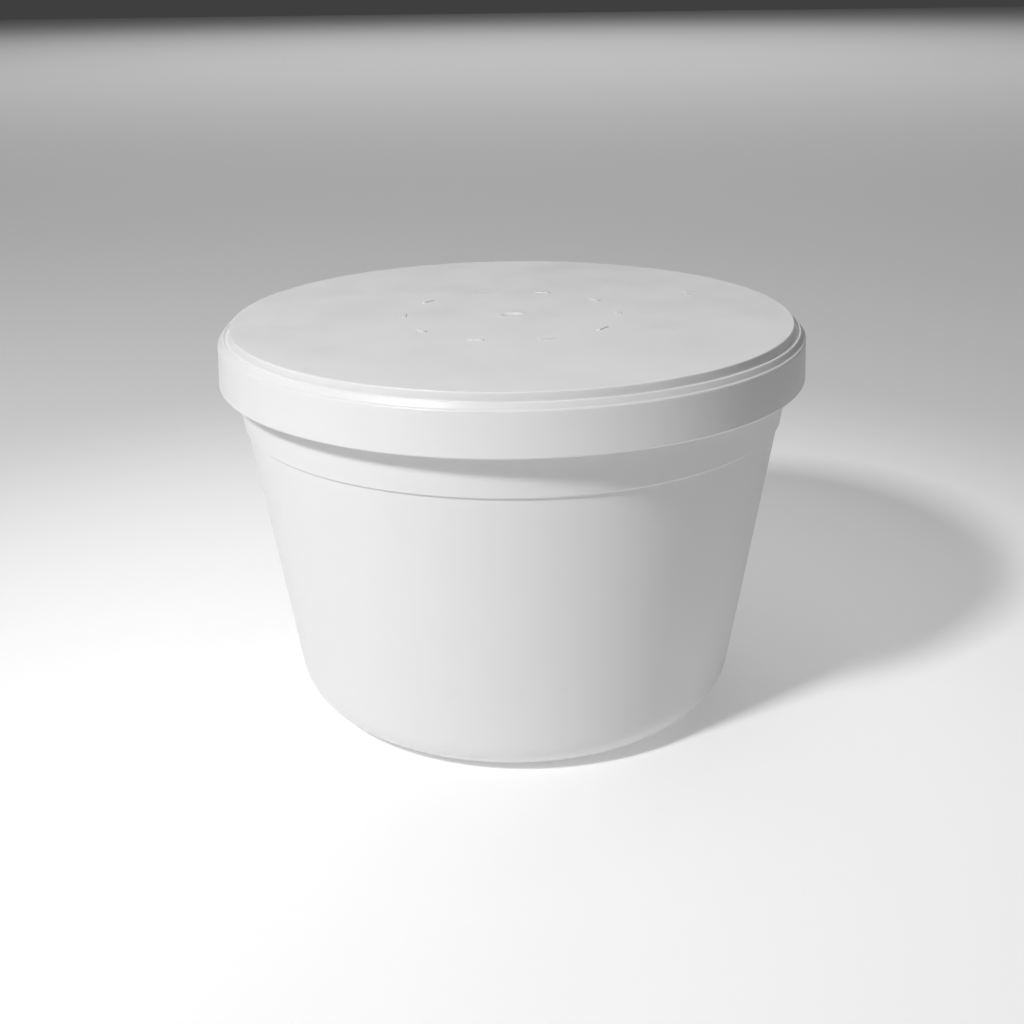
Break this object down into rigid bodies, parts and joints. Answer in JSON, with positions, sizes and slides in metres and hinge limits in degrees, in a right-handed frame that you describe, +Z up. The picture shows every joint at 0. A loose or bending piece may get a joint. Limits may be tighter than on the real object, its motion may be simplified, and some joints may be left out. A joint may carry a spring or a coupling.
{
  "type": "takeaway soup container",
  "caption": "Round white plastic takeaway soup tub, tapered to a rounded base, shut with a press-on lid that has a flat raised panel and a plain skirt.",
  "frame": {"origin": "centre of the base, on the surface that the container stands on", "axes": "+Z up along the axis that the tub and the lid are turned about; +X and +Y are any two level directions, as the form is round"},
  "size_m": [0.117, 0.117, 0.0796],
  "materials": {
    "tub_plastic": "white moulded polypropylene, satin",
    "lid_plastic": "white moulded polypropylene, fine matt panel and a smoother edge"
  },
  "bodies": {
    "root": {"tub": "tub_plastic", "lid": "lid_plastic"}
  },
  "joints": []
}
